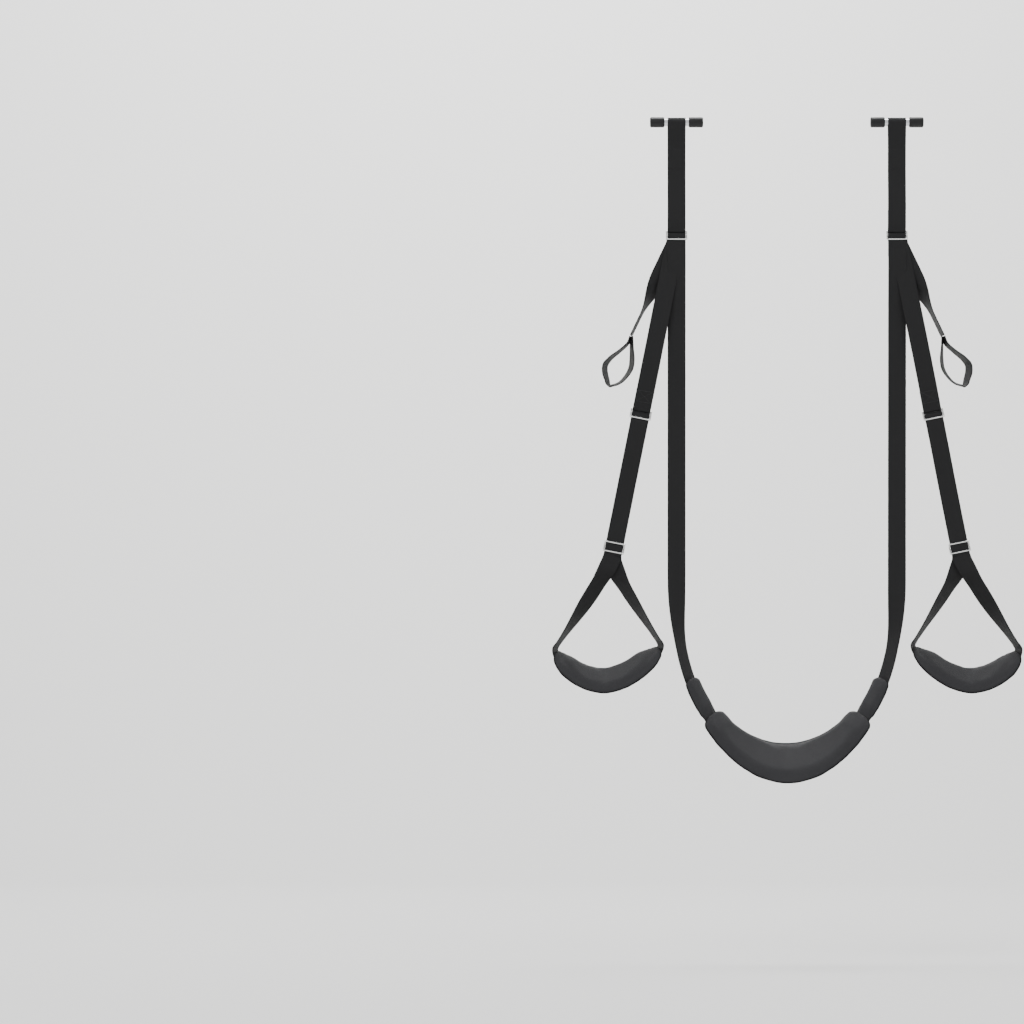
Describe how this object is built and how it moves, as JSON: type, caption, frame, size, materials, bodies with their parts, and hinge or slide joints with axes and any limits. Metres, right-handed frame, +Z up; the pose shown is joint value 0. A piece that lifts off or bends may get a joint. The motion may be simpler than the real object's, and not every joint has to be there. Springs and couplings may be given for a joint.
{
  "type": "door-hung suspension sling",
  "caption": "Webbing sling hung from the top of a door, with a padded seat, padded leg loops, hand loops, wire slides and anchor bars.",
  "frame": {"origin": "midway between the two door anchor tubes, on their common axis", "axes": "+Z up, +X along the anchor tubes, -Y towards the body side of the sling"},
  "size_m": [0.9898, 0.1156, 1.406],
  "materials": {
    "webbing": "black woven polypropylene webbing, matt with a slight sheen",
    "pad_fabric": "dark grey smooth knitted polyester over foam",
    "binding_tape": "black grosgrain binding tape",
    "foam": "open-cell polyurethane foam",
    "polished_steel": "polished steel tube",
    "nickel_wire": "nickel-plated steel wire",
    "cap_rubber": "black moulded rubber, satin"
  },
  "bodies": {
    "door_anchors": {"anchor_tube_left": "polished_steel", "anchor_cap_outer_left": "cap_rubber", "anchor_cap_inner_left": "cap_rubber", "anchor_tube_right": "polished_steel", "anchor_cap_outer_right": "cap_rubber", "anchor_cap_inner_right": "cap_rubber"},
    "door_strap_left": {"door_strap_left": "webbing"},
    "door_strap_right": {"door_strap_right": "webbing"},
    "seat_sling": {"seat_strap": "webbing", "seat_pad_cover": "pad_fabric", "seat_pad_foam": "foam", "seat_pad_binding": "binding_tape", "top_slide_left": "nickel_wire", "hand_strap_left": "webbing", "side_pad_cover_left": "pad_fabric", "side_pad_foam_left": "foam", "side_pad_binding_left": "binding_tape", "top_slide_right": "nickel_wire", "hand_strap_right": "webbing", "side_pad_cover_right": "pad_fabric", "side_pad_foam_right": "foam", "side_pad_binding_right": "binding_tape"},
    "leg_strap_upper_left": {"leg_strap_upper_left": "webbing"},
    "leg_strap_lower_left": {"leg_strap_lower_left": "webbing", "loop_return_ply_left": "webbing", "mid_slide_left": "nickel_wire"},
    "loop_slider_left": {"loop_slider_left": "nickel_wire"},
    "leg_loop_left": {"leg_loop_strap_left": "webbing", "leg_pad_cover_left": "pad_fabric", "leg_pad_foam_left": "foam", "leg_pad_binding_left": "binding_tape", "leg_pad_sleeve_left": "pad_fabric"},
    "hand_loop_left": {"hand_loop_left": "webbing"},
    "leg_strap_upper_right": {"leg_strap_upper_right": "webbing"},
    "leg_strap_lower_right": {"leg_strap_lower_right": "webbing", "loop_return_ply_right": "webbing", "mid_slide_right": "nickel_wire"},
    "loop_slider_right": {"loop_slider_right": "nickel_wire"},
    "leg_loop_right": {"leg_loop_strap_right": "webbing", "leg_pad_cover_right": "pad_fabric", "leg_pad_foam_right": "foam", "leg_pad_binding_right": "binding_tape", "leg_pad_sleeve_right": "pad_fabric"},
    "hand_loop_right": {"hand_loop_right": "webbing"}
  },
  "joints": [
    {"name": "door_strap_left_swing", "type": "hinge", "parent": "door_anchors", "child": "door_strap_left", "pos_m": [-0.2324, 0, 0], "axis": [-1, 0, 0], "range_deg": [0, 60]},
    {"name": "seat_swing", "type": "hinge", "parent": "door_strap_left", "child": "seat_sling", "pos_m": [-0.2324, 0.0027, -0.23], "axis": [-1, 0, 0], "range_deg": [-60, 30]},
    {"name": "leg_strap_left_swing", "type": "hinge", "parent": "seat_sling", "child": "leg_strap_upper_left", "pos_m": [-0.2354, -0.0092, -0.252], "axis": [-1, 0, 0], "range_deg": [0, 55]},
    {"name": "leg_strap_left_fold", "type": "hinge", "parent": "leg_strap_upper_left", "child": "leg_strap_lower_left", "pos_m": [-0.30649, -0.0065, -0.60777], "axis": [-0.9806, 0, 0.1959], "range_deg": [-40, 45]},
    {"name": "loop_slider_left_slide", "type": "slide", "parent": "leg_strap_lower_left", "child": "loop_slider_left", "axis": [0.1959, 0, 0.9806], "range_m": [0, 0.08]},
    {"name": "leg_loop_left_swing", "type": "hinge", "parent": "leg_strap_lower_left", "child": "leg_loop_left", "pos_m": [-0.36747, -0.00515, -0.91293], "axis": [-0.9806, 0, 0.1959], "range_deg": [-45, 45]},
    {"name": "hand_loop_left_swing", "type": "hinge", "parent": "seat_sling", "child": "hand_loop_left", "pos_m": [-0.32867, -0.00725, -0.45064], "axis": [0, 1, 0], "range_deg": [-10, 40]},
    {"name": "door_strap_right_swing", "type": "hinge", "parent": "door_anchors", "child": "door_strap_right", "pos_m": [0.2324, 0, 0], "axis": [-1, 0, 0], "range_deg": [0, 60]},
    {"name": "leg_strap_right_swing", "type": "hinge", "parent": "seat_sling", "child": "leg_strap_upper_right", "pos_m": [0.2354, -0.0092, -0.252], "axis": [-1, 0, 0], "range_deg": [0, 55]},
    {"name": "leg_strap_right_fold", "type": "hinge", "parent": "leg_strap_upper_right", "child": "leg_strap_lower_right", "pos_m": [0.30649, -0.0065, -0.60777], "axis": [-0.9806, 0, -0.1959], "range_deg": [-40, 45]},
    {"name": "loop_slider_right_slide", "type": "slide", "parent": "leg_strap_lower_right", "child": "loop_slider_right", "axis": [-0.1959, 0, 0.9806], "range_m": [0, 0.08]},
    {"name": "leg_loop_right_swing", "type": "hinge", "parent": "leg_strap_lower_right", "child": "leg_loop_right", "pos_m": [0.36747, -0.00515, -0.91293], "axis": [-0.9806, 0, -0.1959], "range_deg": [-45, 45]},
    {"name": "hand_loop_right_swing", "type": "hinge", "parent": "seat_sling", "child": "hand_loop_right", "pos_m": [0.32867, -0.00725, -0.45064], "axis": [0, -1, 0], "range_deg": [-10, 40]}
  ],
  "couplings": [
    {"joint": "door_strap_right_swing", "follows": "door_strap_left_swing", "ratio": 1}
  ]
}
